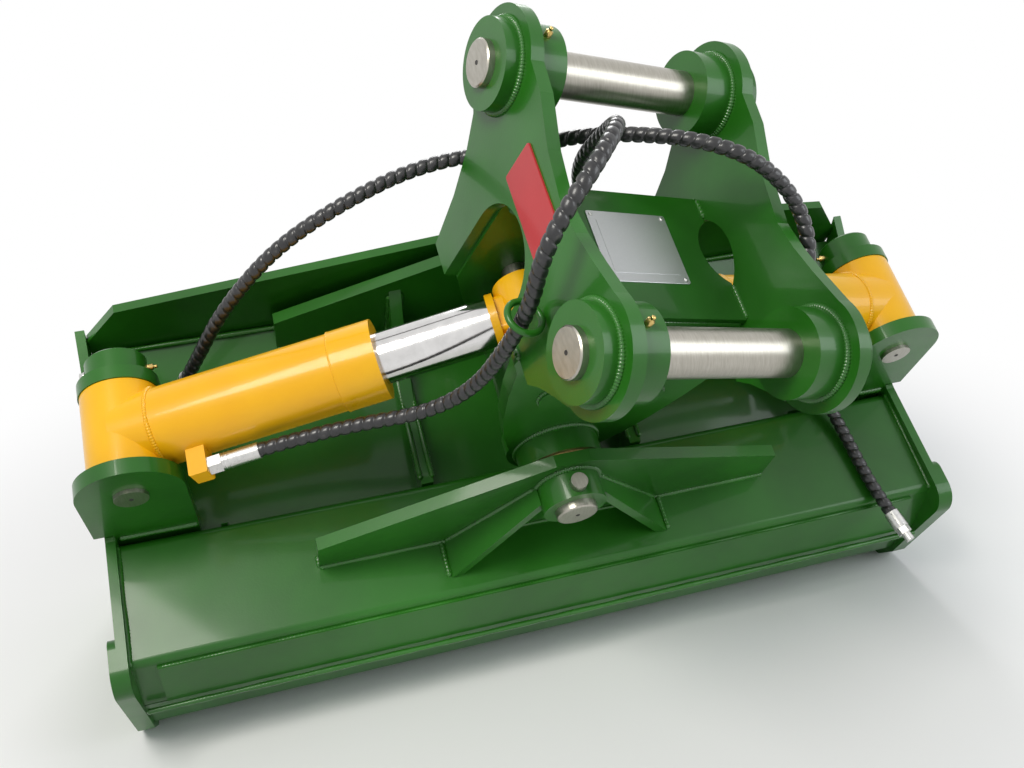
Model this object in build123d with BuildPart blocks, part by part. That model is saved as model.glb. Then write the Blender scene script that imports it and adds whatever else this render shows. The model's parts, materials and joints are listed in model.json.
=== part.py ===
from build123d import *
import os
from math import atan2, cos, degrees, hypot, radians, sin, tan

# Tilting grading bucket for a small digger, standing on its flat floor.
# X runs across the bucket, Y from the heel towards the mouth, Z up. Millimetres.
# The origin is on the ground, mid-width, under the floor.
#
# Most pieces are placed from two sloping frames. The deck frame lies in the top plate,
# at the middle of its heel fold: x across, y up the slope, z out of the plate. The head
# frame lies on the tilt axis and is turned about it by the stored tilt: x across the
# headstock, y along the tilt axis, z up between its ears.

# Overall
inner_width = 1370.0
side_wall = 15.0
rise = 36.0
rest_tilt = 18.0
fold_back = 330.0
fold_height = 220.0
seat_gap = 0.3
pin_clearance = 0.05

# Bucket shell, one bent plate. Deck points give the outer face.
shell_wall = 10.0
floor_end = 110.0
floor_start = -196.0
heel_foot = (-24.0, -202.0)
back_at = (-4.0, -112.0)
flare_at = (400.0, -2.0)
lip_at = (514.0, 50.0)
heel_bend = 55.0
back_bend = 70.0
flare_bend = 160.0
blade_wall = 20.0
blade_tip = 260.0
blade_bevel = 34.0
blade_edge = 6.0

# Top plate and heel strips
deck_wall = 12.0
deck_depth = 197.0
deck_bend = 14.0
heel_drop = (-34.0, -100.0)
heel_end = (-37.0, -200.0)
strip_wall = 6.0
strip_inset = 36.0
strip_margin = 12.0

# Side plates
side_proud = 14.0
side_flare = (360.0, 33.0)
side_lip = (533.0, 102.0)
side_corner = 38.0
side_heel = 80.0
wear_wall = 12.0
wear_band = 46.0
wear_round = 20.0

# Top rail
rail_wall = 15.0
rail_end = 85.0
rail_chamfer = (630.0, 160.0)
rail_peak = (60.0, 228.0)
rail_skirt = 25.0

# Tilt pin and its two hinge plates
axis_height = 152.0
tilt_pin_r = 32.5
tilt_pin_start = 33.5
tilt_pin_end = 507.0
near_hinge_at = 91.0
far_hinge_at = 480.0
hinge_wall = 20.0
hinge_half = 388.0
hinge_nose = 76.0
hinge_peak = (28.0, 216.0)
far_nose = 116.0
far_peak = (28.0, 243.0)
boss_r = 50.0
boss_start = 46.0
bolt_r = 8.0
bolt_head_r = 13.0
bolt_head = 13.0
bolt_socket = 5.8
bolt_at = 64.0
gusset_wall = 15.0
gusset_foot = 177.0
gusset_start = 46.0
gusset_height = 150.0
gusset_reach = 63.0
gusset_tip = 30.0

# Ribs in the trough
rib_wall = 20.0
rib_x = 187.0
rib_knee = (330.0, 0.0)
rib_waist = (415.0, 55.0)
rib_top = 160.0
tab_x = 521.0
tab_wall = 10.0
tab_reach = 38.0

# Cylinder pivots on the bucket
pivot_x = 637.0
pivot_height = 150.0
pivot_along = 300.0
tee_length = 142.0
tee_r = 58.0
pivot_pin_r = 25.0
lug_gap = 0.5
near_lug_wall = 24.0
near_lug_r = 78.0
lug_side_clear = 1.0
far_lug_wall = 22.0
far_lug_r = 60.0
far_boss_r = 46.0
far_boss_length = 40.0
pin_head_proud = 6.0

# Cylinders, measured from the base pivot along the rod
barrel_r = 60.0
bore_r = 50.0
gland_r = 62.0
gland_length = 66.0
barrel_end = 402.0
bore_start = 62.0
gland_bush = 42.0
rod_r = 40.0
flange_r = 45.0
flange_wall = 12.0
flange_reach = 58.0
neck_width = 60.0
eye_r = 44.0
eye_length = 100.0
eye_pin_r = 22.5
eye_pin_gap = 0.3
piston_wall = 20.0
rod_reach = 398.0
port_at = 108.0
port_length = 28.0
port_height = 32.0
port_inner = 48.0
port_outer = 101.0
port_edge = 3.0
port_bore_y = -86.0
nut_length = 20.0
nut_r = 15.0
ferrule_r = 12.5
ferrule_length = 56.0

# Headstock
ear_inner = 167.0
ear_wall = 20.0
near_pin_at = (72.3, 399.0)
far_pin_at = (517.9, 416.9)
lobe_r = 82.0
collar_r = 62.0
collar_edge = 3.0
collar_outer = 25.0
collar_inner = 48.0
carry_pin_r = 32.5
carry_pin_proud = 11.0
window_along = 303.0
window_top = 345.0
window_r = 80.0
leg_foot = 128.0
far_leg_edge = 440.0
eye_s = 78.0
eye_u = 152.0
clevis_wall = 30.0
far_clevis_wall = 25.0
near_clevis_at = 156.0
clevis_shelf = 250.0
hub_outer = 66.0
hub_bore = 42.0
hub_start = 116.0
hub_end = 475.0
bush_length = 60.0
bush_rim_r = 58.0
centre_top = 317.0
centre_wall = 12.0
centre_from = 181.0
centre_to = 378.0
cut_along = 303.0
cut_half = 57.0
cut_depth = 32.0
eye_cap_r = 28.0
eye_cap_wall = 6.0
ring_at = (167.0, 332.0)
ring_wire = 4.5
ring_r = 24.0

# Hoses. Corners of each route, after the end of its ferrule: (across, along, up) in the
# deck frame, or in the head frame where the hose lies on the headstock. Each corner is
# rounded by an arc that takes this share of the shorter run beside it.
hose_r = 11.0
corner_share = 0.45
hose_lead = 102.6
left_start_on_deck = [(-162, 180, 293)]
left_on_head = [
    (-216, 158, 334),
    (-250, 180, 465),
    (-184, 258, 547),
    (-105, 355, 513),
    (-62, 425, 325),
]
left_end_on_deck = [
    (148, 445, 296),
    (244, 478, 213),
    (350, 400, 130),
    (450, 314, 60),
    (544, 210, 33),
    (563, 137, 15),
    (571, 26, 12),
    (582, -33, 16),
]
right_on_head = [
    (225, 184, 230),
    (209, 162, 331),
    (224, 211, 423),
    (185, 294, 474),
    (66, 339, 503),
    (-41, 439, 398),
    (-109, 489, 296),
]
right_end_on_deck = [
    (-149, 510, 436),
    (-281, 473, 412),
    (-385, 455, 346),
    (-470, 443, 224),
    (-508, 427, 153),
    (-539, 427, 80),
]
end_sleeve_r = 13.0
end_sleeve_length = 30.0
end_hex_r = 12.0
end_hex_length = 12.0
end_tip_r = 7.5
end_tip_length = 14.0

os.makedirs("parts", exist_ok=True)

half = inner_width / 2
sides = {"left": -1, "right": 1}
deck = Plane(
    origin=(0, -fold_back, fold_height),
    x_dir=(1, 0, 0),
    z_dir=(0, -sin(radians(rise)), cos(radians(rise))),
)
head = Plane(
    origin=deck.offset(axis_height).origin,
    x_dir=deck.x_dir * cos(radians(rest_tilt)) - deck.z_dir * sin(radians(rest_tilt)),
    z_dir=deck.x_dir * sin(radians(rest_tilt)) + deck.z_dir * cos(radians(rest_tilt)),
)


def lengthways(frame, across):
    """Profile plane at a distance across the frame: x runs along its y, y along its z."""
    origin = frame.from_local_coords((across, 0, 0))
    return Plane(origin=origin, x_dir=frame.y_dir, z_dir=frame.x_dir)


def crossways(frame, along):
    """Section plane at a distance along the frame's y, facing the mouth: x across, y down."""
    origin = frame.from_local_coords((0, along, 0))
    return Plane(origin=origin, x_dir=frame.x_dir, z_dir=frame.y_dir)


def side_view(along, height):
    """A deck point (along the slope, out of the plate) as a point of the side view."""
    place = deck.from_local_coords((0, along, height))
    return (place.Y, place.Z)


def upright(points):
    """Points (across, up) as the crossways plane wants them, whose y points down."""
    return [(x, -y) for x, y in points]


def both_sides(points):
    """An outline given on its right side, from foot to top, closed over to the left."""
    return points + [(-x, y) for x, y in reversed(points)]


def write(part, name):
    part.label = name
    export_step(part, f"parts/{name}.step")


# Bucket shell: floor, heel bend, straight back and flared lip
shell_line = [
    (floor_end, 0),
    (floor_start, 0),
    side_view(*heel_foot),
    side_view(*back_at),
    side_view(*flare_at),
    side_view(*lip_at),
]
with BuildPart() as shell:
    with BuildSketch(Plane.YZ.offset(-half)):
        with BuildLine():
            FilletPolyline(*shell_line, radius=[heel_bend, heel_bend, back_bend, flare_bend])
            offset(amount=shell_wall, side=Side.RIGHT)
        make_face()
    extrude(amount=inner_width)
write(shell.part, "shell")


def back_height(along):
    """Height of the shell's outer face on its straight back, in the deck frame."""
    slope = (flare_at[1] - back_at[1]) / (flare_at[0] - back_at[0])
    return back_at[1] + slope * (along - back_at[0])


# Everything inside the shell's outer face, used to seat plates on that face
with BuildPart() as inside_shell:
    with BuildSketch(lengthways(deck, -half - 100)):
        with BuildLine():
            seat_line = FilletPolyline(back_at, flare_at, lip_at, radius=flare_bend)
            Polyline(seat_line @ 1, (lip_at[0], -400), (back_at[0], -400), seat_line @ 0)
        make_face()
    extrude(amount=inner_width + 200)

# Cutting edge: thick bevelled blade butted to the floor plate
with BuildPart() as cutting_edge:
    with BuildSketch(Plane.YZ.offset(-half)):
        with BuildLine():
            Polyline(
                (floor_end, 0),
                (blade_tip, 0),
                (blade_tip, blade_edge),
                (blade_tip - blade_bevel, blade_wall),
                (floor_end, blade_wall),
                close=True,
            )
        make_face()
    extrude(amount=inner_width)
write(cutting_edge.part, "cutting_edge")

# Top plate: folded over the heel, with a flange down to the shell at its far edge
deck_line = [(deck_depth, back_height(deck_depth)), (deck_depth, 0), (0, 0), heel_drop]
with BuildPart() as deck_plate:
    with BuildSketch(lengthways(deck, -half)):
        with BuildLine():
            FilletPolyline(*deck_line, radius=deck_bend)
            offset(amount=deck_wall, side=Side.LEFT)
        make_face()
    extrude(amount=inner_width)
write(deck_plate.part, "deck_plate")


def heel_strip(start, end, wall, half_length):
    """A strip lying on the heel between two deck points of its outer face's line."""
    with BuildPart() as strip:
        with BuildSketch(lengthways(deck, -half_length)):
            with BuildLine():
                Line(start, end)
                offset(amount=wall, side=Side.LEFT)
            make_face()
        extrude(amount=2 * half_length)
    return strip.part


heel_run = Vector(*heel_drop)
heel_down = heel_run.normalized()
heel_out = Vector(heel_down.Y, -heel_down.X)
strip_top = heel_down * strip_margin + heel_out * strip_wall
strip_foot = heel_run - heel_down * strip_margin / 2 + heel_out * strip_wall
upper_strip = heel_strip(
    (strip_top.X, strip_top.Y), (strip_foot.X, strip_foot.Y), strip_wall, half - strip_inset
)
write(upper_strip, "heel_strip_upper")
lower_top = heel_drop[1] + deck_wall * heel_down.X - seat_gap
lower_strip = heel_strip((heel_drop[0], lower_top), heel_end, deck_wall, half)
write(lower_strip, "heel_strip_lower")

# Side plates, standing a little proud of the top plate and the heel
side_outline = [
    (floor_start - 14, 0),
    side_view(heel_end[0] - 10, heel_end[1]),
    side_view(heel_drop[0] - 6, side_proud + 6),
    side_view(deck_depth, side_proud),
    side_view(*side_flare),
    side_view(*side_lip),
    (blade_tip - 22, 42),
    (blade_tip - 12, 0),
]


def side_face():
    """Outline of a side plate in the side view, with its heel corners rounded."""
    with BuildSketch() as outline:
        with BuildLine():
            Polyline(*side_outline, close=True)
        make_face()
        corners = outline.vertices()
        top_corner = corners.sort_by_distance(side_outline[2])[0]
        heel_corner = corners.sort_by_distance(side_outline[1])[0]
        fillet(top_corner, radius=side_corner)
        fillet(heel_corner, radius=side_heel)
    return outline.sketch


def wear_face():
    """The band of the side plate's outline that the wear plate covers, round the heel."""
    band = [(-90, 60), (wear_band, 60), (wear_band, -90), (wear_band - 8, -300), (-160, -300)]
    with BuildSketch() as outline:
        add(side_face())
        with BuildSketch(mode=Mode.INTERSECT):
            with BuildLine():
                Polyline(*[side_view(*point) for point in band], close=True)
            make_face()
        top = outline.vertices().sort_by_distance(side_view(wear_band, side_proud))[0]
        fillet(top, radius=wear_round)
    return outline.sketch


for name, sign in sides.items():
    inner = half if sign > 0 else -half - side_wall
    with BuildPart() as side_plate:
        with BuildSketch(Plane.YZ.offset(inner)):
            add(side_face())
        extrude(amount=side_wall)
    write(side_plate.part, f"side_plate_{name}")

    outer = half + side_wall if sign > 0 else -half - side_wall - wear_wall
    with BuildPart() as side_wear:
        with BuildSketch(Plane.YZ.offset(outer)):
            add(wear_face())
        extrude(amount=wear_wall)
    write(side_wear.part, f"side_wear_{name}")

# Top rail: bow-shaped plate along the mouth's upper lip
flare_run = hypot(lip_at[0] - flare_at[0], lip_at[1] - flare_at[1])
rail_at = lip_at[0] + shell_wall * (lip_at[1] - flare_at[1]) / flare_run + seat_gap
rail_outline = [(half, lip_at[1] - rail_skirt), (half, rail_end), rail_chamfer, rail_peak]
with BuildPart() as top_rail:
    with BuildSketch(crossways(deck, rail_at)):
        with BuildLine():
            Polyline(*upright(both_sides(rail_outline)), close=True)
        make_face()
    extrude(amount=rail_wall)
write(top_rail.part, "top_rail")


def hinge_plate(start, nose, peak, foot):
    """Bow-tie plate across the deck, bored for the tilt pin and seated on what is under it."""
    outline = [(hinge_half, foot), (hinge_half, nose), peak]
    with BuildPart() as plate:
        with BuildSketch(crossways(deck, start)):
            with BuildLine():
                Polyline(*upright(both_sides(outline)), close=True)
            make_face()
            with Locations((0, -axis_height)):
                Circle(tilt_pin_r + pin_clearance, mode=Mode.SUBTRACT)
        extrude(amount=hinge_wall)
        if foot < 0:
            add(inside_shell.part, mode=Mode.SUBTRACT)
    return plate.part


write(hinge_plate(near_hinge_at, hinge_nose, hinge_peak, 0), "hinge_plate_near")
write(hinge_plate(far_hinge_at, far_nose, far_peak, -20), "hinge_plate_far")

with BuildPart() as tilt_pin:
    with BuildSketch(crossways(deck, tilt_pin_start)):
        with Locations((0, -axis_height)):
            Circle(tilt_pin_r)
    extrude(amount=tilt_pin_end - tilt_pin_start)
    chamfer(tilt_pin.edges().filter_by(GeomType.CIRCLE), length=2)
write(tilt_pin.part, "tilt_pin")

# Boss round the pin's near end, drilled from above for the bolt that keeps the pin
bolt_foot = axis_height + tilt_pin_r + seat_gap
with BuildPart() as tilt_boss:
    with BuildSketch(crossways(deck, boss_start)):
        with Locations((0, -axis_height)):
            Circle(boss_r)
            Circle(tilt_pin_r + pin_clearance, mode=Mode.SUBTRACT)
    extrude(amount=near_hinge_at - boss_start)
    with BuildSketch(deck.offset(axis_height)):
        with Locations((0, bolt_at)):
            Circle(bolt_r + pin_clearance)
    extrude(amount=boss_r + 10, mode=Mode.SUBTRACT)
write(tilt_boss.part, "tilt_boss")

with BuildPart() as pin_bolt:
    with BuildSketch(deck.offset(bolt_foot)):
        with Locations((0, bolt_at)):
            Circle(bolt_r)
    extrude(amount=boss_r - tilt_pin_r + bolt_head / 2)
    with BuildSketch(deck.offset(axis_height + boss_r + seat_gap)):
        with Locations((0, bolt_at)):
            Circle(bolt_head_r)
    extrude(amount=bolt_head)
    with BuildSketch(deck.offset(axis_height + boss_r + bolt_head)):
        with Locations((0, bolt_at)):
            RegularPolygon(bolt_socket, 6, mode=Mode.ADD)
    extrude(amount=-bolt_head / 2, mode=Mode.SUBTRACT)
write(pin_bolt.part, "tilt_pin_bolt")

# Braces sloping from the boss down to the top plate, in front of the near hinge plate
for name, sign in sides.items():
    slope = atan2(gusset_height, gusset_foot - gusset_start)
    run = hypot(gusset_height, gusset_foot - gusset_start)
    lean = deck.x_dir * (-sign * cos(slope)) + deck.z_dir * sin(slope)
    foot = deck.from_local_coords((sign * gusset_foot, near_hinge_at, 0))
    with BuildPart() as brace:
        with BuildSketch(Plane(origin=foot, x_dir=lean, z_dir=lean.cross(deck.y_dir))):
            with BuildLine():
                Polyline(
                    (-20, 0),
                    (-20, -gusset_reach),
                    (0, -gusset_reach),
                    (run, -gusset_tip),
                    (run, 0),
                    close=True,
                )
            make_face()
        extrude(amount=gusset_wall / 2, both=True)
        split(bisect_by=deck, keep=Keep.TOP)
        with BuildSketch(crossways(deck, boss_start - 20)):
            with Locations((0, -axis_height)):
                Circle(boss_r + seat_gap)
        extrude(amount=near_hinge_at - boss_start + 20, mode=Mode.SUBTRACT)
    write(brace.part, f"boss_brace_{name}")

# Ribs along the trough, from the top plate's flange to the far hinge plate
for name, sign in sides.items():
    with BuildPart() as rib:
        with BuildSketch(lengthways(deck, sign * rib_x - rib_wall / 2)):
            with BuildLine():
                Polyline(
                    (deck_depth, -90),
                    (deck_depth, 0),
                    rib_knee,
                    rib_waist,
                    (far_hinge_at, rib_top),
                    (far_hinge_at, -90),
                    close=True,
                )
            make_face()
        extrude(amount=rib_wall)
        add(inside_shell.part, mode=Mode.SUBTRACT)
    write(rib.part, f"trough_rib_{name}")

with BuildPart() as edge_tabs:
    for sign in sides.values():
        with BuildSketch(lengthways(deck, sign * tab_x - tab_wall / 2)):
            with BuildLine():
                Polyline((deck_depth, -90), (deck_depth, 0), (deck_depth + tab_reach, -90), close=True)
            make_face()
        extrude(amount=tab_wall)
    add(inside_shell.part, mode=Mode.SUBTRACT)
write(edge_tabs.part, "edge_tabs")

# Lugs that carry the cylinders' base pins, and the pins' ends
near_face = pivot_along - tee_length / 2 - lug_gap
far_face = pivot_along + tee_length / 2 + lug_gap


def side_top(along):
    """Height of the side plate's upper edge at a point along the deck."""
    knots = [(deck_depth, side_proud), side_flare, side_lip]
    for low, high in zip(knots, knots[1:]):
        if along <= high[0]:
            break
    return low[1] + (high[1] - low[1]) * (along - low[0]) / (high[0] - low[0])


def lug(sign, start, wall, radius, bore):
    """Round-topped plate on the shell, stepped over the side plate."""
    step = side_top(start + wall) + lug_side_clear
    inner = sign * (pivot_x - radius)
    outer = sign * (pivot_x + radius)
    edge = sign * half
    with BuildPart() as plate:
        with BuildSketch(crossways(deck, start)):
            with BuildLine():
                Polyline(
                    *upright(
                        [
                            (inner, -90),
                            (inner, pivot_height),
                            (outer, pivot_height),
                            (outer, step),
                            (edge, step),
                            (edge, -90),
                        ]
                    ),
                    close=True,
                )
            make_face()
            with Locations((sign * pivot_x, -pivot_height)):
                Circle(radius)
                Circle(bore, mode=Mode.SUBTRACT)
        extrude(amount=wall)
        add(inside_shell.part, mode=Mode.SUBTRACT)
    return plate.part


pin_bore = pivot_pin_r + pin_clearance
for name, sign in sides.items():
    near_lug_at = near_face - near_lug_wall
    write(lug(sign, near_lug_at, near_lug_wall, near_lug_r, pin_bore), f"lug_near_{name}")
    write(lug(sign, far_face, far_lug_wall, far_lug_r, pin_bore), f"lug_far_{name}")
    boss_at = far_face + far_lug_wall
    with BuildPart() as far_boss:
        with BuildSketch(crossways(deck, boss_at)):
            with Locations((sign * pivot_x, -pivot_height)):
                Circle(far_boss_r)
                Circle(pin_bore, mode=Mode.SUBTRACT)
        extrude(amount=far_boss_length)
        chamfer(far_boss.faces().sort_by(Axis(deck.origin, deck.y_dir))[-1].outer_wire().edges(), length=3)
    write(far_boss.part, f"lug_boss_{name}")
    with BuildPart() as pin_ends:
        for start, end in (
            (near_lug_at - pin_head_proud, near_face),
            (far_face, boss_at + far_boss_length + pin_head_proud / 2),
        ):
            with BuildSketch(crossways(deck, start)):
                with Locations((sign * pivot_x, -pivot_height)):
                    Circle(pivot_pin_r)
            extrude(amount=end - start)
    write(pin_ends.part, f"base_pin_ends_{name}")

# Hydraulic cylinders. Each is measured along its rod from the base pivot to the rod eye.
eye_in_deck = {
    name: deck.to_local_coords(Vector(head.from_local_coords((sign * eye_s, 0, eye_u))))
    for name, sign in sides.items()
}


def cylinder_frame(name):
    """Base pivot, x along the rod, y along the pin. Also gives the pin-to-eye distance."""
    base = Vector(deck.from_local_coords((sides[name] * pivot_x, pivot_along, pivot_height)))
    eye = Vector(deck.from_local_coords((eye_in_deck[name].X, pivot_along, eye_in_deck[name].Z)))
    along = (eye - base).normalized()
    return Plane(origin=base, x_dir=along, z_dir=along.cross(deck.y_dir)), (eye - base).length


hose_starts = {}
hose_leads = {}
for name, sign in sides.items():
    frame, reach = cylinder_frame(name)
    pin_plane = Plane(origin=frame.origin, x_dir=frame.x_dir, z_dir=frame.y_dir)
    axis_plane = Plane(origin=frame.origin, x_dir=frame.y_dir, z_dir=frame.x_dir)
    eye_plane = Plane(
        origin=frame.from_local_coords((reach, 0, 0)), x_dir=frame.x_dir, z_dir=frame.y_dir
    )
    lean = degrees(atan2(frame.x_dir.dot(deck.z_dir), -sign * frame.x_dir.dot(deck.x_dir)))
    print(f"{name} cylinder: pin to eye {reach:.1f}, leans {lean:.2f} degrees")

    with BuildPart() as barrel:
        with BuildSketch(pin_plane):
            Circle(tee_r)
        extrude(amount=tee_length / 2, both=True)
        with BuildSketch(axis_plane):
            Circle(barrel_r)
        extrude(amount=barrel_end - gland_length)
        with BuildSketch(frame):
            with Locations((port_at, -(port_inner + port_outer) / 2)):
                RectangleRounded(port_length, port_outer - port_inner, port_edge)
        extrude(amount=port_height / 2, both=True)
        with BuildSketch(axis_plane.offset(bore_start)):
            Circle(bore_r)
        extrude(amount=barrel_end, mode=Mode.SUBTRACT)
        with BuildSketch(pin_plane):
            Circle(pin_bore)
        extrude(amount=tee_length / 2, both=True, mode=Mode.SUBTRACT)
    write(barrel.part, f"barrel_{name}")

    with BuildPart() as gland:
        with BuildSketch(axis_plane.offset(barrel_end - gland_length)):
            Circle(gland_r)
            Circle(bore_r, mode=Mode.SUBTRACT)
        extrude(amount=gland_length - gland_bush)
        with BuildSketch(axis_plane.offset(barrel_end - gland_bush)):
            Circle(gland_r)
            Circle(rod_r + pin_clearance, mode=Mode.SUBTRACT)
        extrude(amount=gland_bush)
    write(gland.part, f"gland_{name}")

    with BuildPart() as pin_core:
        with BuildSketch(pin_plane):
            Circle(pivot_pin_r)
        extrude(amount=tee_length / 2, both=True)
    write(pin_core.part, f"base_pin_core_{name}")

    # Nut and crimped ferrule of the hose, pointing inboard from the port block
    fitting_at = axis_plane.offset(port_at + port_length / 2)
    with BuildPart() as port_fitting:
        with BuildSketch(fitting_at):
            with Locations((port_bore_y, 0)):
                RegularPolygon(nut_r, 6)
        extrude(amount=nut_length)
        with BuildSketch(fitting_at.offset(nut_length)):
            with Locations((port_bore_y, 0)):
                Circle(ferrule_r)
        extrude(amount=ferrule_length)
    write(port_fitting.part, f"port_fitting_{name}")
    hose_starts[name] = fitting_at.offset(nut_length + ferrule_length).from_local_coords(
        (port_bore_y, 0, 0)
    )
    hose_leads[name] = fitting_at.offset(nut_length + ferrule_length + hose_lead).from_local_coords(
        (port_bore_y, 0, 0)
    )

    # Rod with the piston on its inner end
    rod_start = reach - rod_reach
    with BuildPart() as rod:
        with BuildSketch(axis_plane.offset(rod_start)):
            Circle(rod_r)
        extrude(amount=reach - flange_reach - rod_start)
        with BuildSketch(axis_plane.offset(rod_start)):
            Circle(bore_r - pin_clearance)
        extrude(amount=piston_wall)
    write(rod.part, f"rod_{name}")

    with BuildPart() as rod_eye:
        with BuildSketch(eye_plane):
            Circle(eye_r)
        extrude(amount=eye_length / 2, both=True)
        with BuildSketch(axis_plane.offset(reach - flange_reach)):
            Circle(flange_r)
        extrude(amount=flange_wall)
        with BuildSketch(axis_plane.offset(reach - flange_reach)):
            RectangleRounded(neck_width, neck_width, 8)
        extrude(amount=flange_reach - eye_r / 2)
        with BuildSketch(eye_plane):
            Circle(eye_pin_r + pin_clearance)
        extrude(amount=eye_length / 2, both=True, mode=Mode.SUBTRACT)
    write(rod_eye.part, f"rod_eye_{name}")

    eye_pin_from = near_clevis_at + clevis_wall + eye_pin_gap
    eye_pin_to = centre_to - eye_pin_gap
    with BuildPart() as eye_pin:
        with BuildSketch(eye_plane.offset(eye_pin_from - pivot_along)):
            Circle(eye_pin_r)
        extrude(amount=eye_pin_to - eye_pin_from)
    write(eye_pin.part, f"eye_pin_{name}")

# Headstock ears: two lobes for the carrying pins, a saddle between them and an arched window
def ear_face():
    shelf = clevis_shelf + seat_gap
    outline = [
        (window_along + window_r, leg_foot),
        (window_along + window_r, shelf),
        (118, shelf),
        (99, 274),
        (73, 297),
        (44, 320),
        (72, 400),
        (98, 476),
        (164, 457),
        (214, 445),
        (262, 438),
        (341, 450),
        (415, 475),
        (466, 480),
        (517, 417),
        (566, 352),
        (519, 325),
        (490, 282),
        (462, 215),
        (far_leg_edge, leg_foot),
    ]
    with BuildSketch() as outline_sketch:
        with BuildLine():
            Polyline(*outline, close=True)
        make_face()
        with Locations(near_pin_at, far_pin_at):
            Circle(lobe_r)
        with Locations((window_along, window_top - window_r)):
            Circle(window_r, mode=Mode.SUBTRACT)
        with Locations((window_along, (leg_foot + window_top - window_r) / 2)):
            Rectangle(2 * window_r, window_top - window_r - leg_foot, mode=Mode.SUBTRACT)
        with Locations(near_pin_at, far_pin_at):
            Circle(carry_pin_r + pin_clearance, mode=Mode.SUBTRACT)
    return outline_sketch.sketch


for name, sign in sides.items():
    inner = ear_inner if sign > 0 else -ear_inner - ear_wall
    with BuildPart() as ear:
        with BuildSketch(lengthways(head, inner)):
            add(ear_face())
        extrude(amount=ear_wall)
    write(ear.part, f"ear_{name}")

# Collars welded round each pin hole, inside and outside the ears, and the pins themselves
for name, (along, up) in {"near": near_pin_at, "far": far_pin_at}.items():
    ear_outer = ear_inner + ear_wall
    with BuildPart() as collars:
        for start, length in (
            (ear_outer, collar_outer),
            (ear_inner - collar_inner, collar_inner),
            (-ear_inner, collar_inner),
            (-ear_outer - collar_outer, collar_outer),
        ):
            with BuildSketch(lengthways(head, start)):
                with Locations((along, up)):
                    Circle(collar_r)
                    Circle(carry_pin_r + pin_clearance, mode=Mode.SUBTRACT)
            extrude(amount=length)
    write(collars.part, f"collars_{name}")

    pin_half = ear_outer + collar_outer + carry_pin_proud
    with BuildPart() as carry_pin:
        with BuildSketch(lengthways(head, -pin_half)):
            with Locations((along, up)):
                Circle(carry_pin_r)
        extrude(amount=2 * pin_half)
        chamfer(carry_pin.edges().filter_by(GeomType.CIRCLE), length=2)
    write(carry_pin.part, f"carry_pin_{name}")

# Plate between the ears, with a curved bite beside each ear
cut_r = (cut_half**2 + cut_depth**2) / (2 * cut_depth)
with BuildPart() as centre_plate:
    with BuildSketch(head.offset(centre_top)):
        with Locations((0, (centre_from + centre_to) / 2)):
            Rectangle(2 * ear_inner, centre_to - centre_from)
        for sign in sides.values():
            with Locations((sign * (ear_inner - cut_depth + cut_r), cut_along)):
                Circle(cut_r, mode=Mode.SUBTRACT)
    extrude(amount=-centre_wall)
write(centre_plate.part, "centre_plate")

# Cross plates that join the ears to the hub
plate_bore = hub_outer + pin_clearance
near_outline = [
    (62, -37),
    (108, 32),
    (132, 81),
    (156, 150),
    (173, 215),
    (188, 236),
    (188, clevis_shelf),
    (ear_inner, clevis_shelf),
    (ear_inner, centre_top - centre_wall),
]
with BuildPart() as clevis_near:
    with BuildSketch(crossways(head, near_clevis_at)):
        with BuildLine():
            Polyline(*upright(both_sides(near_outline)), close=True)
        make_face()
        Circle(hub_outer + 14)
        Circle(plate_bore, mode=Mode.SUBTRACT)
    extrude(amount=clevis_wall)
write(clevis_near.part, "cross_plate_near")

far_outline = [
    (hub_outer - 8, -hub_outer + 16),
    (ear_inner, leg_foot),
    (ear_inner, centre_top),
]
with BuildPart() as clevis_far:
    with BuildSketch(crossways(head, centre_to)):
        with BuildLine():
            Polyline(*upright(both_sides(far_outline)), close=True)
        make_face()
        Circle(hub_outer + 14)
        Circle(plate_bore, mode=Mode.SUBTRACT)
    extrude(amount=far_clevis_wall)
write(clevis_far.part, "cross_plate_far")

with BuildPart() as hub:
    with BuildSketch(crossways(head, hub_start)):
        Circle(hub_outer)
        Circle(hub_bore, mode=Mode.SUBTRACT)
    extrude(amount=hub_end - hub_start)
write(hub.part, "hub_tube")

# Bronze bushes pressed into the hub, each with a rim that takes the end thrust
rim_near = hub_start - near_hinge_at - hinge_wall - seat_gap
with BuildPart() as bushes:
    for start, rim in ((hub_start, -rim_near), (hub_end, rim_near)):
        inward = bush_length if rim < 0 else -bush_length
        with BuildSketch(crossways(head, start)):
            Circle(hub_bore)
            Circle(tilt_pin_r + pin_clearance, mode=Mode.SUBTRACT)
        extrude(amount=inward)
        with BuildSketch(crossways(head, start)):
            Circle(bush_rim_r)
            Circle(tilt_pin_r + pin_clearance, mode=Mode.SUBTRACT)
        extrude(amount=rim)
write(bushes.part, "hub_bushes")

with BuildPart() as eye_caps:
    with BuildSketch(crossways(head, near_clevis_at - eye_cap_wall)):
        with Locations((-eye_s, -eye_u), (eye_s, -eye_u)):
            Circle(eye_cap_r)
    extrude(amount=eye_cap_wall)
write(eye_caps.part, "eye_pin_caps")

# Wire rings on the ears' outer faces that guide the hoses
ring_out = ear_inner + ear_wall + ring_r + ring_wire + seat_gap
with BuildPart() as hose_rings:
    for sign in sides.values():
        centre = head.from_local_coords((sign * ring_out, *ring_at))
        with BuildSketch(Plane(origin=centre, x_dir=head.x_dir, z_dir=-head.y_dir)):
            with Locations((ring_r, 0)):
                Circle(ring_wire)
        revolve(axis=Axis(centre, head.z_dir), revolution_arc=360)
write(hose_rings.part, "hose_rings")


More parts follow.
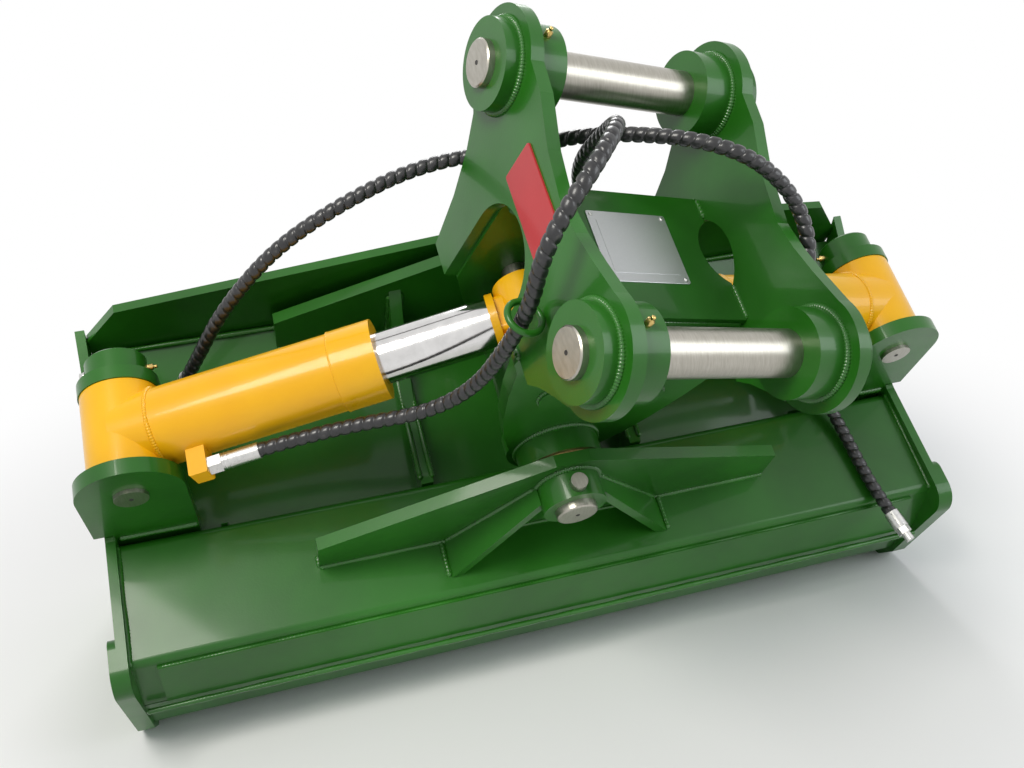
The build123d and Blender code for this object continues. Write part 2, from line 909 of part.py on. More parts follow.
def hose(name, corners):
    """A hose of straight runs joined by arcs. Gives the direction in which it ends."""
    bends = []
    for before, corner, after in zip(corners, corners[1:], corners[2:]):
        run_in = corner - before
        run_out = after - corner
        half_turn = radians(run_in.get_angle(run_out)) / 2
        bends.append(corner_share * min(run_in.length, run_out.length) / tan(half_turn))
    with BuildPart() as tube:
        with BuildLine():
            route = FilletPolyline(*corners, radius=bends)
        with BuildSketch(Plane(origin=corners[0], z_dir=corners[1] - corners[0])):
            Circle(hose_r)
        sweep(path=route)
    write(tube.part, f"hose_{name}")
    print(f"{name} hose: length {route.length:.0f}, radii", [round(bend) for bend in bends])
    return (corners[-1] - corners[-2]).normalized()


routes = {
    "left": [deck.from_local_coords(point) for point in left_start_on_deck]
    + [head.from_local_coords(point) for point in left_on_head]
    + [deck.from_local_coords(point) for point in left_end_on_deck],
    "right": [head.from_local_coords(point) for point in right_on_head]
    + [deck.from_local_coords(point) for point in right_end_on_deck],
}
for name, corners in routes.items():
    corners = [Vector(corner) for corner in [hose_starts[name], hose_leads[name], *corners]]
    end_plane = Plane(origin=corners[-1], z_dir=hose(name, corners))
    with BuildPart() as hose_end:
        with BuildSketch(end_plane):
            Circle(end_sleeve_r)
        extrude(amount=end_sleeve_length)
        with BuildSketch(end_plane.offset(end_sleeve_length)):
            RegularPolygon(end_hex_r, 6)
        extrude(amount=end_hex_length)
        with BuildSketch(end_plane.offset(end_sleeve_length + end_hex_length)):
            Circle(end_tip_r)
        extrude(amount=end_tip_length)
    write(hose_end.part, f"hose_end_{name}")
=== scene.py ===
import json
from math import cos, pi, radians, sin, sqrt, tau

import bmesh
import bpy
from mathutils import Matrix, Vector


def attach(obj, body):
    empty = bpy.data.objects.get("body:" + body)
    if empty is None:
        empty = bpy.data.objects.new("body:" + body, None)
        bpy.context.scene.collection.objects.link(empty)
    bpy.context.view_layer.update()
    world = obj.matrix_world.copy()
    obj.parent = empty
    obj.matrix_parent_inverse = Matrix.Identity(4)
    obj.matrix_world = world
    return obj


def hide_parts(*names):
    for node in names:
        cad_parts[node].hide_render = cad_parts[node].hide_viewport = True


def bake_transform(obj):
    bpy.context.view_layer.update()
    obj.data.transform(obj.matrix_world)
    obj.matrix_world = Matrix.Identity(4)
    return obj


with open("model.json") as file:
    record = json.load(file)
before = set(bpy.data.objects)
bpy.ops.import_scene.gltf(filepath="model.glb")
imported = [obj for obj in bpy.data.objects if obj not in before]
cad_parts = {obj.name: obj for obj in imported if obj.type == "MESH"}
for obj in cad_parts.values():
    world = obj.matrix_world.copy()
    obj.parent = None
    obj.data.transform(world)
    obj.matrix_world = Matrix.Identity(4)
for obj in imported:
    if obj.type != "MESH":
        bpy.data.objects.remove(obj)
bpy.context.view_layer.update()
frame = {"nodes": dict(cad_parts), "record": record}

# Metres. The deck frame lies in the top plate at the middle of its heel fold: x across,
# y up the slope, z out of the plate. The head frame lies on the tilt axis, turned by the
# stored tilt: x across the headstock, y along the axis, z up between the ears.
rise = radians(36)
deck = Matrix.Translation((0, -0.330, 0.220)) @ Matrix.Rotation(rise, 4, "X")
axis_height = 0.152
head = deck @ Matrix.Translation((0, 0, axis_height)) @ Matrix.Rotation(radians(18), 4, "Y")
half_width = 0.685
side_wall = 0.015
hinge_half = 0.388
pivot = (0.637, 0.300, 0.150)
eye = (0.078, 0.300, 0.152)
ear_inner = 0.167
ear_outer = 0.187
pin_places = {"near": (0.0723, 0.3990), "far": (0.5179, 0.4169)}
hose_r = 0.011
sides = {"left": -1, "right": 1}


def cylinder_frame(name):
    """At the base pivot: x along the rod, y along the pivot pin."""
    base = deck @ Vector((sides[name] * pivot[0], pivot[1], pivot[2]))
    far = head @ Vector((sides[name] * eye[0], eye[1], eye[2]))
    along = (far - base).normalized()
    across = deck.to_3x3() @ Vector((0, 1, 0))
    turn = Matrix((along, across, along.cross(across))).transposed()
    return Matrix.Translation(base) @ turn.to_4x4()


cylinders = {name: cylinder_frame(name) for name in sides}

# Camera
camera_data = bpy.data.cameras.new("camera")
camera_data.sensor_width = 36
camera_data.lens = 37.69
camera = bpy.data.objects.new("camera", camera_data)
camera.location = (-0.4491, -1.6966, 1.2642)
camera.rotation_euler = (radians(63.9022), radians(2.9496), radians(-16.7516))
bpy.context.scene.collection.objects.link(camera)
bpy.context.scene.camera = camera
bpy.context.scene.view_settings.view_transform = "Standard"


# Materials
def new_finish(name, colour, roughness, metallic=0.0, coat=0.0, coat_roughness=0.05):
    """A material with its shader's own values set. Gives material, nodes, links, shader."""
    finish = bpy.data.materials.new(name)
    finish.use_nodes = True
    nodes = finish.node_tree.nodes
    shader = nodes["Principled BSDF"]
    shader.inputs["Base Color"].default_value = (*colour, 1)
    shader.inputs["Roughness"].default_value = roughness
    shader.inputs["Metallic"].default_value = metallic
    shader.inputs["Coat Weight"].default_value = coat
    shader.inputs["Coat Roughness"].default_value = coat_roughness
    return finish, nodes, finish.node_tree.links, shader


def object_noise(nodes, links, scale, detail=3.0, stretch=(1, 1, 1)):
    """Noise on the piece's own coordinates."""
    coordinates = nodes.new("ShaderNodeTexCoord")
    mapping = nodes.new("ShaderNodeMapping")
    mapping.inputs["Scale"].default_value = stretch
    noise = nodes.new("ShaderNodeTexNoise")
    noise.inputs["Scale"].default_value = scale
    noise.inputs["Detail"].default_value = detail
    links.new(coordinates.outputs["Object"], mapping.inputs["Vector"])
    links.new(mapping.outputs["Vector"], noise.inputs["Vector"])
    return noise.outputs["Fac"]


def tint(nodes, links, factor, stops, target):
    """Colour or grey ramp from a factor into a socket."""
    ramp = nodes.new("ShaderNodeValToRGB")
    ramp.color_ramp.elements[0].position = stops[0][0]
    ramp.color_ramp.elements[0].color = stops[0][1]
    ramp.color_ramp.elements[1].position = stops[-1][0]
    ramp.color_ramp.elements[1].color = stops[-1][1]
    for place, colour in stops[1:-1]:
        ramp.color_ramp.elements.new(place).color = colour
    links.new(factor, ramp.inputs["Fac"])
    links.new(ramp.outputs["Color"], target)


def roughen(nodes, links, factor, low, high, target):
    spread = nodes.new("ShaderNodeMapRange")
    spread.inputs["To Min"].default_value = low
    spread.inputs["To Max"].default_value = high
    links.new(factor, spread.inputs["Value"])
    links.new(spread.outputs["Result"], target)


def relief(nodes, links, height, strength, distance, shader):
    bump = nodes.new("ShaderNodeBump")
    bump.inputs["Strength"].default_value = strength
    bump.inputs["Distance"].default_value = distance
    links.new(height, bump.inputs["Height"])
    links.new(bump.outputs["Normal"], shader.inputs["Normal"])


def thick_paint(name, dark, light, roughness, coat=0.3):
    """Gloss paint over mill steel: slow colour drift, orange peel and dulled patches."""
    finish, nodes, links, shader = new_finish(name, light, roughness, coat=coat, coat_roughness=0.08)
    shader.inputs["Specular IOR Level"].default_value = 0.28
    drift = object_noise(nodes, links, 5.0, 5.0)
    tint(nodes, links, drift, [(0.3, (*dark, 1)), (0.7, (*light, 1))], shader.inputs["Base Color"])
    haze = object_noise(nodes, links, 11.0, 6.0)
    roughen(nodes, links, haze, roughness - 0.1, roughness + 0.16, shader.inputs["Roughness"])
    peel = object_noise(nodes, links, 260.0, 3.0)
    relief(nodes, links, peel, 0.16, 0.0006, shader)
    return finish


def turned_metal(name, dark, light, roughness, stretch, strength=0.12):
    """Bare metal with fine marks from the lathe, drawn out across the stretched axis."""
    finish, nodes, links, shader = new_finish(name, light, roughness, metallic=1.0)
    marks = object_noise(nodes, links, 60.0, 5.0, stretch)
    tint(nodes, links, marks, [(0.3, (*dark, 1)), (0.7, (*light, 1))], shader.inputs["Base Color"])
    roughen(nodes, links, marks, roughness * 0.8, roughness * 1.25, shader.inputs["Roughness"])
    relief(nodes, links, marks, strength, 0.0004, shader)
    return finish


green_paint = thick_paint("green_paint", (0.011, 0.088, 0.005), (0.019, 0.150, 0.008), 0.32)
# weld_green is a lighter copy of green_paint: its lighter colour is a painted highlight for the shine on the
# weld beads.
weld_green = thick_paint("weld_green", (0.014, 0.098, 0.007), (0.028, 0.180, 0.013), 0.24, 0.5)
yellow_paint = thick_paint("yellow_paint", (0.85, 0.41, 0.004), (0.94, 0.52, 0.007), 0.30)
red_paint = thick_paint("red_paint", (0.36, 0.018, 0.022), (0.50, 0.030, 0.035), 0.34)
chrome_rod = turned_metal("chrome_rod", (0.64, 0.63, 0.62), (0.72, 0.71, 0.70), 0.13, (1, 1, 1), 0.006)
pin_steel = turned_metal("pin_steel", (0.37, 0.35, 0.30), (0.47, 0.45, 0.40), 0.32, (9, 1, 1), 0.05)
zinc_plate = turned_metal("zinc_plate", (0.56, 0.56, 0.55), (0.66, 0.65, 0.63), 0.28, (3, 3, 3), 0.03)
bronze = turned_metal("bronze", (0.42, 0.26, 0.10), (0.62, 0.43, 0.20), 0.34, (4, 4, 4))
brass = turned_metal("brass", (0.55, 0.38, 0.12), (0.74, 0.55, 0.22), 0.28, (4, 4, 4))
plate_metal = turned_metal("plate_metal", (0.50, 0.51, 0.52), (0.63, 0.64, 0.65), 0.36, (1, 60, 60))

black_guard, nodes, links, shader = new_finish("black_guard", (0.014, 0.014, 0.016), 0.30, coat=0.3)
scuffs = object_noise(nodes, links, 90.0, 4.0)
tint(
    nodes,
    links,
    scuffs,
    [(0.35, (0.008, 0.008, 0.009, 1)), (0.62, (0.018, 0.018, 0.020, 1)), (0.8, (0.07, 0.066, 0.06, 1))],
    shader.inputs["Base Color"],
)
roughen(nodes, links, scuffs, 0.22, 0.5, shader.inputs["Roughness"])
relief(nodes, links, scuffs, 0.2, 0.0004, shader)

# Painted shade: a near-black finish for flat discs that stand in for the shaded hollows of the centre holes,
# its darkness mottled by noise.
painted_hole_shade, nodes, links, shader = new_finish("painted_hole_shade", (0.02, 0.02, 0.02), 0.6)
hole_shade_mottle = object_noise(nodes, links, 150.0, 3.0)
tint(
    nodes,
    links,
    hole_shade_mottle,
    [(0.3, (0.01, 0.01, 0.01, 1)), (0.8, (0.05, 0.045, 0.04, 1))],
    shader.inputs["Base Color"],
)

finish_of_slot = {
    "green_paint": green_paint,
    "yellow_paint": yellow_paint,
    "chrome_rod": chrome_rod,
    "pin_steel": pin_steel,
    "plated_fitting": zinc_plate,
    "bronze": bronze,
    "hose_black": black_guard,
}
for subpart in frame["record"]["subparts"]:
    node = frame["nodes"][subpart["node"]]
    node.data.materials.clear()
    node.data.materials.append(finish_of_slot[subpart["material_slot"]])


# Pieces
def finished(name, mesh, finish, body, smooth=True):
    """An object at the origin from a mesh or a bmesh, with its finish, riding on a body."""
    if isinstance(mesh, bmesh.types.BMesh):
        bmesh.ops.remove_doubles(mesh, verts=mesh.verts, dist=1e-6)
        bmesh.ops.recalc_face_normals(mesh, faces=mesh.faces)
        made = bpy.data.meshes.new(name)
        mesh.to_mesh(made)
        mesh.free()
        mesh = made
    mesh.materials.clear()
    mesh.materials.append(finish)
    for face in mesh.polygons:
        face.use_smooth = smooth
    piece = bpy.data.objects.new(name, mesh)
    bpy.context.scene.collection.objects.link(piece)
    if body:
        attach(piece, body)
    return piece


def curve_points(points, order, closed=False, steps=12):
    """Points along a NURBS line through the given control points."""
    line = bpy.data.curves.new("line", "CURVE")
    line.dimensions = "3D"
    spline = line.splines.new("NURBS")
    spline.points.add(len(points) - 1)
    for control, point in zip(spline.points, points):
        control.co = (*point, 1)
    spline.order_u = order
    spline.use_cyclic_u = closed
    spline.use_endpoint_u = not closed
    line.resolution_u = steps
    return line


def as_mesh(line):
    """The mesh that Blender makes of a curve."""
    holder = bpy.data.objects.new("holder", line)
    bpy.context.scene.collection.objects.link(holder)
    bpy.context.view_layer.update()
    shown = holder.evaluated_get(bpy.context.evaluated_depsgraph_get())
    mesh = bpy.data.meshes.new_from_object(shown)
    bpy.data.objects.remove(holder)
    return mesh


def tube_along(line, radius, sides_count):
    """Round tube along a curve, its centre line's points, and its vertices ring by ring."""
    centres = [vertex.co.copy() for vertex in as_mesh(line).vertices]
    line.bevel_depth = radius
    line.bevel_resolution = sides_count // 2 - 2
    tube = as_mesh(line)
    count = len(tube.vertices) // len(centres)
    return tube, centres, count


# Hoses. The corners of each route, as the part's source has them: in the deck frame, or in
# the head frame where the hose lies on the headstock.
ferrule_end = 0.198
ferrule_y = -0.086
hose_lead = 0.1026
guard_pitch = 0.0165
guard_share = 0.84
guard_groove = 0.0022
guard_roundness = 0.28


def cylinder_point(name, along):
    return cylinders[name] @ Vector((along, ferrule_y, 0))


def in_deck(*points):
    return [deck @ Vector(point) for point in points]


def in_head(*points):
    return [head @ Vector(point) for point in points]


hose_routes = {
    "left": [
        cylinder_point("left", ferrule_end),
        cylinder_point("left", ferrule_end + hose_lead),
        *in_deck((-0.162, 0.180, 0.293)),
        *in_head(
            (-0.216, 0.158, 0.334),
            (-0.250, 0.180, 0.465),
            (-0.184, 0.258, 0.547),
            (-0.105, 0.355, 0.513),
            (-0.062, 0.425, 0.325),
        ),
        *in_deck(
            (0.148, 0.445, 0.296),
            (0.244, 0.478, 0.213),
            (0.350, 0.400, 0.130),
            (0.450, 0.314, 0.060),
            (0.544, 0.210, 0.033),
            (0.563, 0.137, 0.015),
            (0.571, 0.026, 0.012),
            (0.582, -0.033, 0.016),
        ),
    ],
    "right": [
        cylinder_point("right", ferrule_end),
        cylinder_point("right", ferrule_end + hose_lead),
        *in_head(
            (0.225, 0.184, 0.230),
            (0.209, 0.162, 0.331),
            (0.224, 0.211, 0.423),
            (0.185, 0.294, 0.474),
            (0.066, 0.339, 0.503),
            (-0.041, 0.439, 0.398),
            (-0.109, 0.489, 0.296),
        ),
        *in_deck(
            (-0.149, 0.510, 0.436),
            (-0.281, 0.473, 0.412),
            (-0.385, 0.455, 0.346),
            (-0.470, 0.443, 0.224),
            (-0.508, 0.427, 0.153),
            (-0.539, 0.427, 0.080),
        ),
    ],
}


def guarded_hose(name, points):
    """Hose in a coiled guard: a tube along the route, pressed in between the guard's turns."""
    line = curve_points(points, 3, steps=120)
    tube, centres, count = tube_along(line, hose_r, 16)
    travel = 0.0
    for ring, centre in enumerate(centres):
        if ring:
            travel += (centre - centres[ring - 1]).length
        for corner in range(count):
            vertex = tube.vertices[ring * count + corner]
            phase = (travel / guard_pitch + corner / count) % 1
            crown = max(0.0, sin(pi * min(phase / guard_share, 1))) ** guard_roundness
            vertex.co = centre + (vertex.co - centre) * (1 - guard_groove / hose_r * (1 - crown))
    guard = finished(f"hose_guard_{name}", tube, black_guard, None)
    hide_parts(f"hose_{name}")
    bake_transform(guard)


for name, points in hose_routes.items():
    guarded_hose(name, points)


# Weld beads
bead_r = 0.0048
bead_ripple = 0.0042


def bead(name, points, body, radius=bead_r, closed=False):
    """A rippled weld bead along straight runs, or round a closed line."""
    corners = [Vector(point) for point in points]
    if closed:
        line = curve_points(corners, 4, closed=True, steps=16)
    else:
        stops = []
        for start, end in zip(corners, corners[1:]):
            count = max(2, round((end - start).length / 0.0024))
            stops += [start.lerp(end, step / count) for step in range(count)]
        line = curve_points(stops + [corners[-1]], 2, steps=1)
    tube, centres, count = tube_along(line, radius, 8)
    travel = 0.0
    for ring, centre in enumerate(centres):
        if ring:
            travel += (centre - centres[ring - 1]).length
        swell = 1 + 0.14 * sin(tau * travel / bead_ripple) + 0.10 * sin(travel * 61 + len(name))
        if not closed and ring in (0, len(centres) - 1):
            swell = 0.4
        for corner in range(count):
            vertex = tube.vertices[ring * count + corner]
            vertex.co = centre + (vertex.co - centre) * swell
    return finished(name, tube, weld_green, body)


def circle(place, radius, centre=(0, 0, 0), normal="Y", count=24):
    """Points of a circle in a frame, round its y axis or its x axis."""
    ring = []
    for step in range(count):
        turn = tau * step / count
        if normal == "Y":
            offset = Vector((radius * cos(turn), 0, radius * sin(turn)))
        else:
            offset = Vector((0, radius * cos(turn), radius * sin(turn)))
        ring.append(place @ (Vector(centre) + offset))
    return ring


# Welds on the bucket. A seam lies on the faces that its two plates share.
near_hinge = (0.091, 0.111)
far_hinge_at = 0.480
far_hinge_foot = 0.036
rib_middle = 0.187
rib_half_wall = 0.010
near_lug_faces = (0.2045, 0.2285)
far_lug_face = 0.3935
lug_outer = 0.680
strip_half = 0.645
heel_half = 0.682
rail_half = 0.640
blade_half = 0.680
boss_front = 0.0905
for face, along in (("front", near_hinge[0]), ("back", near_hinge[1])):
    bead(f"weld_near_hinge_{face}", in_deck((-hinge_half, along, 0), (hinge_half, along, 0)), "bucket")
bead(
    "weld_far_hinge_front",
    in_deck((-hinge_half, far_hinge_at, far_hinge_foot), (hinge_half, far_hinge_at, far_hinge_foot)),
    "bucket",
)
for name, sign in sides.items():
    x = sign * hinge_half
    bead(f"weld_near_hinge_end_{name}", in_deck((x, near_hinge[0], 0), (x, near_hinge[1], 0)), "bucket")
    for face, offset in (("in", -rib_half_wall), ("out", rib_half_wall)):
        rib_x = sign * rib_middle + offset
        bead(
            f"weld_rib_{face}_{name}",
            in_deck((rib_x, 0.205, 0.000), (rib_x, 0.330, 0.002), (rib_x, 0.478, 0.036)),
            "bucket",
        )
        bead(
            f"weld_rib_top_{face}_{name}",
            in_deck((rib_x, 0.479, 0.040), (rib_x, 0.479, 0.150)),
            "bucket",
        )
    inner = sign * half_width
    bead(
        f"weld_side_in_{name}",
        in_deck((inner, 0.000, 0.000), (inner, 0.194, 0.000)),
        "bucket",
    )
    outer = sign * (half_width + side_wall)
    bead(
        f"weld_side_wear_{name}",
        in_deck((outer, 0.047, -0.004), (outer, 0.047, -0.090), (outer, 0.040, -0.190)),
        "bucket",
    )
    lug_end = sign * lug_outer
    for face, run in zip(("front", "back"), near_lug_faces):
        near_in = sign * 0.559
        bead(f"weld_lug_{face}_{name}", in_deck((near_in, run, 0.004), (lug_end, run, 0.004)), "bucket")
    far_in = sign * 0.577
    bead(
        f"weld_far_lug_{name}",
        in_deck((far_in, far_lug_face, 0.006), (lug_end, far_lug_face, 0.006)),
        "bucket",
    )
    bead(
        f"weld_lug_boss_{name}",
        circle(deck, 0.0455, (sign * pivot[0], 0.3940, pivot[2])),
        "bucket",
        closed=True,
    )
    brace_foot = sign * 0.182
    bead(
        f"weld_brace_{name}",
        in_deck((brace_foot + sign * 0.008, 0.030, 0), (brace_foot + sign * 0.008, near_hinge[0], 0)),
        "bucket",
    )
    bead(
        f"weld_brace_wall_{name}",
        in_deck((brace_foot, boss_front, 0.003), (sign * 0.054, boss_front, 0.150)),
        "bucket",
    )


def long_seam(name, seam_half, along, up, radius):
    """A bead right across the bucket, at a place in the deck frame's side view."""
    bead(name, in_deck((-seam_half, along, up), (seam_half, along, up)), "bucket", radius)


bead("weld_boss", circle(deck, 0.0505, (0, boss_front, axis_height)), "bucket", closed=True)
long_seam("weld_strip_top", strip_half, -0.0065, -0.014, 0.0040)
long_seam("weld_heel", heel_half, -0.046, -0.098, 0.0045)
long_seam("weld_rail", rail_half, 0.5115, 0.055, 0.0045)
long_seam("weld_rail_back", rail_half, 0.519, 0.034, 0.0040)
edge_y = 0.110
bead("weld_edge", [(-blade_half, edge_y, 0.0115), (blade_half, edge_y, 0.0115)], "bucket", 0.005)

# Welds on the headstock
near_cross = 0.1555
far_cross = 0.4035
centre_top = 0.3175
for pin, (along, up) in pin_places.items():
    for name, sign in sides.items():
        for face, across in (("out", ear_outer + 0.0005), ("in", ear_inner - 0.0005)):
            bead(
                f"weld_collar_{pin}_{name}_{face}",
                circle(head, 0.0625, (sign * across, along, up), normal="X"),
                "headstock",
                radius=0.0055,
                closed=True,
            )
for name, sign in sides.items():
    inner = sign * ear_inner
    outer = sign * ear_outer
    bead(f"weld_centre_{name}", in_head((inner, 0.183, centre_top), (inner, 0.240, centre_top)), "headstock")
    bead(
        f"weld_centre_far_{name}",
        in_head((inner, 0.366, centre_top), (inner, 0.400, centre_top)),
        "headstock",
    )
    bead(
        f"weld_ear_foot_{name}",
        in_head((outer, 0.188, 0.2505), (outer, near_cross, 0.2505)),
        "headstock",
    )
    bead(
        f"weld_ear_near_{name}",
        in_head((inner, near_cross, 0.252), (inner, near_cross, 0.304)),
        "headstock",
    )
    bead(
        f"weld_ear_far_{name}",
        in_head((inner, far_cross, 0.130), (inner, far_cross, 0.316)),
        "headstock",
    )
    bead(
        f"weld_eye_cap_{name}",
        circle(head, 0.0285, (sign * eye[0], near_cross, eye[2])),
        "headstock",
        radius=0.003,
        closed=True,
    )
bead("weld_centre_near", in_head((-0.162, 0.181, 0.3045), (0.162, 0.181, 0.3045)), "headstock")
hub_weld_r = 0.0665
bead("weld_hub_near", circle(head, hub_weld_r, (0, near_cross, 0)), "headstock", closed=True)
bead("weld_hub_far", circle(head, hub_weld_r, (0, far_cross, 0)), "headstock", closed=True)


def yellow_bead(name, place, along, radius, body, thickness=0.003):
    """Bead round a cylinder at a distance along its rod."""
    ring = bead(name, circle(place, radius, (along, 0, 0), normal="X"), body, thickness, closed=True)
    ring.data.materials.clear()
    ring.data.materials.append(yellow_paint)


for name in sides:
    place = cylinders[name]
    yellow_bead(f"bead_gland_{name}", place, 0.336, 0.0612, f"barrel_{name}", 0.0018)
    yellow_bead(f"bead_tee_{name}", place, 0.0585, 0.0600, f"barrel_{name}", 0.0034)


# Small fasteners and plates
def turned(name, place, profile, finish, body, steps=28):
    """A piece turned round the z axis of a frame. The profile is (radius, height) pairs."""
    shape = bmesh.new()
    corners = [shape.verts.new((radius, 0, height)) for radius, height in profile]
    edges = [shape.edges.new(pair) for pair in zip(corners, corners[1:])]
    bmesh.ops.spin(
        shape,
        geom=corners + edges,
        cent=(0, 0, 0),
        axis=(0, 0, 1),
        angle=tau,
        steps=steps,
        use_merge=True,
    )
    bmesh.ops.transform(shape, matrix=place, verts=shape.verts)
    return finished(name, shape, finish, body)


def facing(place, point, direction):
    """A frame at a point of another frame, whose z axis looks along a direction in it."""
    turn = Vector(direction).to_track_quat("Z", "Y").to_matrix().to_4x4()
    return place @ Matrix.Translation(point) @ turn


# Centre holes in the pin ends: thin raised discs in painted shade, not hollows cut into the steel.
centre_hole = [(0.0, 0.00035), (0.0026, 0.00035), (0.0030, 0.0006), (0.0034, 0.0)]
pin_end_across = 0.2230
for pin, (along, up) in pin_places.items():
    for name, sign in sides.items():
        spot = facing(head, (sign * pin_end_across, along, up), (sign, 0, 0))
        turned(f"centre_hole_{pin}_{name}", spot, centre_hole, painted_hole_shade, "headstock")
spot = facing(deck, (0, 0.0335, axis_height), (0, -1, 0))
turned("centre_hole_tilt", spot, centre_hole, painted_hole_shade, "bucket")
for name, sign in sides.items():
    spot = facing(deck, (sign * pivot[0], 0.1985, pivot[2]), (0, -1, 0))
    turned(f"centre_hole_base_{name}", spot, centre_hole, painted_hole_shade, "bucket")

nipple = [
    (0.0, 0.0150),
    (0.0022, 0.0148),
    (0.0031, 0.0135),
    (0.0024, 0.0115),
    (0.0027, 0.0095),
    (0.0052, 0.0080),
    (0.0052, 0.0),
]
for name, sign in sides.items():
    spot = facing(deck, (sign * (pivot[0] - 0.0459), 0.4150, pivot[2]), (-sign, 0, 0))
    turned(f"grease_nipple_{name}", spot, nipple, brass, "bucket")
for pin, (along, up) in pin_places.items():
    spot = facing(head, (-0.1450, along, up + 0.0618), (0, 0, 1))
    turned(f"grease_nipple_{pin}", spot, nipple, brass, "headstock")


def hex_bolt(name, place, across_flats, height, body):
    """Bolt head with its corners turned off, on a washer."""
    shape = bmesh.new()
    radius = across_flats / sqrt(3)
    made = bmesh.ops.create_cone(
        shape, cap_ends=True, segments=6, radius1=radius, radius2=radius, depth=height
    )
    bmesh.ops.translate(shape, verts=made["verts"], vec=(0, 0, height / 2 + 0.002))
    rim = [edge for edge in shape.edges if all(v.co.z > height for v in edge.verts)]
    bmesh.ops.bevel(
        shape, geom=rim, offset=height * 0.14, affect="EDGES", segments=2, profile=0.5, material=-1
    )
    bmesh.ops.create_cone(
        shape,
        cap_ends=True,
        segments=28,
        radius1=radius * 1.18,
        radius2=radius * 1.18,
        depth=0.002,
        matrix=Matrix.Translation((0, 0, 0.001)),
    )
    bmesh.ops.transform(shape, matrix=place, verts=shape.verts)
    return finished(name, shape, zinc_plate, body, smooth=False)


for name, sign in sides.items():
    spot = facing(deck, (sign * (pivot[0] + 0.0459), 0.4150, pivot[2]), (sign, 0, 0))
    hex_bolt(f"keeper_bolt_{name}", spot, 0.013, 0.006, "bucket")


def thin_plate(name, place, size, finish, body, thickness=0.0016, corner=0.004):
    """Flat plate with rounded corners and a softened edge, its back on the frame's z = 0."""
    shape = bmesh.new()
    bmesh.ops.create_cube(shape, size=1.0)
    bmesh.ops.scale(shape, vec=(size[0], size[1], thickness), verts=shape.verts)
    bmesh.ops.translate(shape, vec=(0, 0, thickness / 2), verts=shape.verts)
    uprights = [edge for edge in shape.edges if abs(edge.verts[0].co.z - edge.verts[1].co.z) > 1e-5]
    bmesh.ops.bevel(
        shape, geom=uprights, offset=corner, affect="EDGES", segments=4, profile=0.5, material=-1
    )
    rim = [edge for edge in shape.edges if all(v.co.z > thickness * 0.9 for v in edge.verts)]
    bmesh.ops.bevel(
        shape, geom=rim, offset=thickness * 0.3, affect="EDGES", segments=2, profile=0.5, material=-1
    )
    bmesh.ops.transform(shape, matrix=place, verts=shape.verts)
    return finished(name, shape, finish, body, smooth=False)


# Bare data plate on the centre plate, with a raised rim and four rivets
plate_centre = (0.019, 0.3015, 0.3170)
plate_size = (0.139, 0.123)
plate_place = head @ Matrix.Translation(plate_centre)
thin_plate("data_plate", plate_place, plate_size, plate_metal, "headstock")
inner_size = (plate_size[0] - 0.026, plate_size[1] - 0.030)
thin_plate(
    "data_plate_panel",
    plate_place @ Matrix.Translation((0, 0, 0.0015)),
    inner_size,
    plate_metal,
    "headstock",
    thickness=0.0006,
    corner=0.002,
)
rivet = [(0.0, 0.0018), (0.0015, 0.0016), (0.0027, 0.0009), (0.0031, 0.0)]
for across in (-1, 1):
    for along in (-1, 1):
        spot = plate_place @ Matrix.Translation(
            (across * (plate_size[0] / 2 - 0.007), along * (plate_size[1] / 2 - 0.007), 0.0016)
        )
        tag = f"{'left' if across < 0 else 'right'}_{'near' if along < 0 else 'far'}"
        turned(f"data_plate_rivet_{tag}", spot, rivet, zinc_plate, "headstock", 16)

# Bare red plate on the left ear's outer face
ear_plate_turn = Matrix(((0, 0, -1), (-1, 0, 0), (0, 1, 0))).to_4x4()
ear_plate_place = head @ Matrix.Translation((-ear_outer, 0.3075, 0.387)) @ ear_plate_turn
thin_plate(
    "ear_plate", ear_plate_place, (0.143, 0.070), red_paint, "headstock", thickness=0.003
)


# Rings pressed into the hoses' ferrules
def crimp_rings(name, place, start, radius, count, spacing, body):
    """Raised rings pressed into a ferrule, along the z axis of a frame."""
    for index in range(count):
        spot = place @ Matrix.Translation((0, 0, start + index * spacing))
        profile = [(radius - 0.0004, 0.0), (radius + 0.0007, 0.0008), (radius + 0.0007, 0.0022)]
        profile.append((radius - 0.0004, 0.0030))
        turned(f"{name}_{index}", spot, profile, zinc_plate, body, 32)


ferrule_start = 0.142
ferrule_r = 0.0125
for name in sides:
    start = facing(cylinders[name], (ferrule_start, ferrule_y, 0), (1, 0, 0))
    crimp_rings(f"ferrule_ring_{name}", start, 0.003, ferrule_r, 2, 0.007, f"barrel_{name}")


# Floor, backdrop and light
def looking_rays(nodes, links):
    """1 for the rays that see the background: straight, mirrored or through glass."""
    path = nodes.new("ShaderNodeLightPath")
    total = path.outputs["Is Camera Ray"]
    for kind in ("Is Glossy Ray", "Is Transmission Ray"):
        join = nodes.new("ShaderNodeMath")
        join.operation = "MAXIMUM"
        links.new(total, join.inputs[0])
        links.new(path.outputs[kind], join.inputs[1])
        total = join.outputs["Value"]
    return total


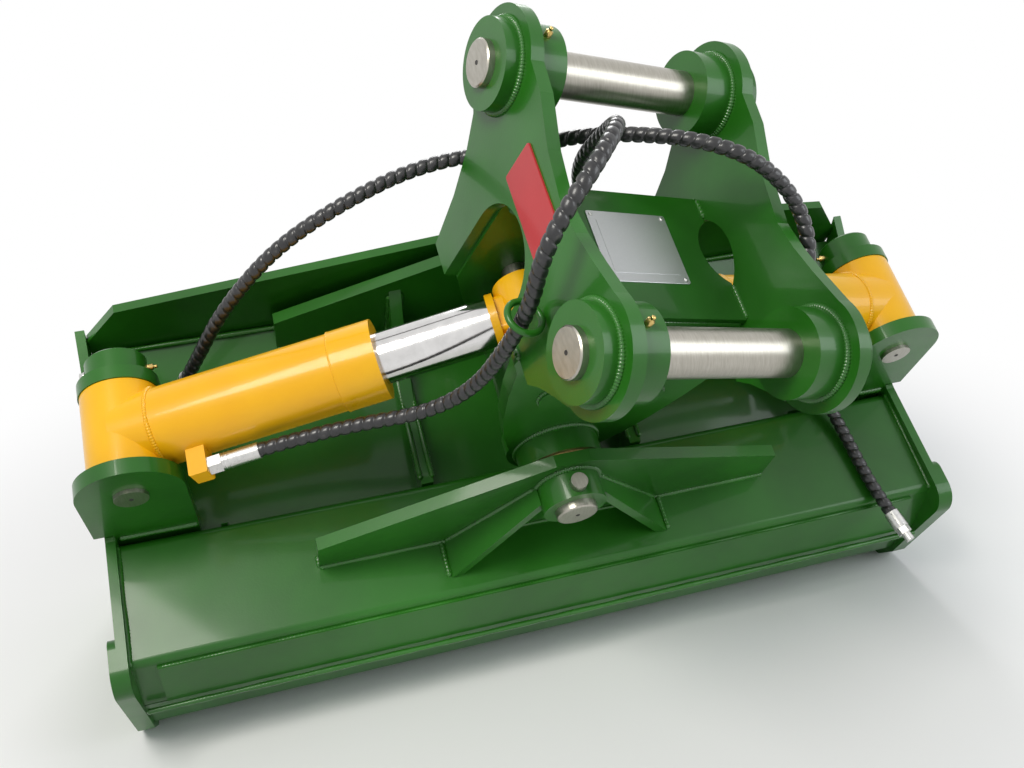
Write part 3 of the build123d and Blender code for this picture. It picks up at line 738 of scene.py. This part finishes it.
# The floor takes the object's shadow near it and fades into the white background
floor_finish, nodes, links, shader = new_finish("floor_finish", (0.86, 0.86, 0.86), 0.8)
shader.inputs["Specular IOR Level"].default_value = 0.1
fade_from = 0.75
fade_to = 1.6
coordinates = nodes.new("ShaderNodeTexCoord")
reach = nodes.new("ShaderNodeVectorMath")
reach.operation = "LENGTH"
fade = nodes.new("ShaderNodeMapRange")
fade.interpolation_type = "SMOOTHSTEP"
fade.inputs["From Min"].default_value = fade_from
fade.inputs["From Max"].default_value = fade_to
share = nodes.new("ShaderNodeMath")
share.operation = "MULTIPLY"
white = nodes.new("ShaderNodeEmission")
mix = nodes.new("ShaderNodeMixShader")
links.new(coordinates.outputs["Object"], reach.inputs[0])
links.new(reach.outputs["Value"], fade.inputs["Value"])
links.new(fade.outputs["Result"], share.inputs[0])
links.new(looking_rays(nodes, links), share.inputs[1])
links.new(share.outputs["Value"], mix.inputs["Fac"])
links.new(shader.outputs["BSDF"], mix.inputs[1])
links.new(white.outputs["Emission"], mix.inputs[2])
links.new(mix.outputs["Shader"], nodes["Material Output"].inputs["Surface"])
floor_shape = bmesh.new()
bmesh.ops.create_grid(floor_shape, x_segments=1, y_segments=1, size=12)
floor_mesh = bpy.data.meshes.new("floor")
floor_shape.to_mesh(floor_mesh)
floor_shape.free()
floor_mesh.materials.append(floor_finish)
floor = bpy.data.objects.new("floor", floor_mesh)
floor.location = (0, 0, -0.0005)
bpy.context.scene.collection.objects.link(floor)

world = bpy.data.worlds.new("studio")
bpy.context.scene.world = world
world.use_nodes = True
nodes = world.node_tree.nodes
links = world.node_tree.links
plain = nodes["Background"]
plain.inputs["Color"].default_value = (0.93, 0.96, 1.0, 1)
plain.inputs["Strength"].default_value = 0.42
backdrop = nodes.new("ShaderNodeBackground")
backdrop.inputs["Color"].default_value = (1, 1, 1, 1)
backdrop.inputs["Strength"].default_value = 1.0
choose = nodes.new("ShaderNodeMixShader")
links.new(looking_rays(nodes, links), choose.inputs["Fac"])
links.new(plain.outputs["Background"], choose.inputs[1])
links.new(backdrop.outputs["Background"], choose.inputs[2])
links.new(choose.outputs["Shader"], nodes["World Output"].inputs["Surface"])


def lamp(name, place, aim, size, power, colour=(1, 1, 1)):
    """Square soft lamp at a place, turned to its aim."""
    light = bpy.data.lights.new(name, "AREA")
    light.size = size
    light.energy = power
    light.color = colour
    holder = bpy.data.objects.new(name, light)
    holder.location = place
    holder.rotation_euler = (Vector(aim) - Vector(place)).to_track_quat("-Z", "Y").to_euler()
    bpy.context.scene.collection.objects.link(holder)


lamp("key", (-1.4, -1.4, 3.0), (0, -0.1, 0.5), 1.2, 62, (1.0, 0.97, 0.90))
lamp("fill", (2.4, -1.8, 1.8), (0, 0, 0.5), 1.6, 26, (0.92, 0.96, 1.0))
lamp("back", (0.6, 2.6, 2.4), (0, 0, 0.6), 1.4, 40)
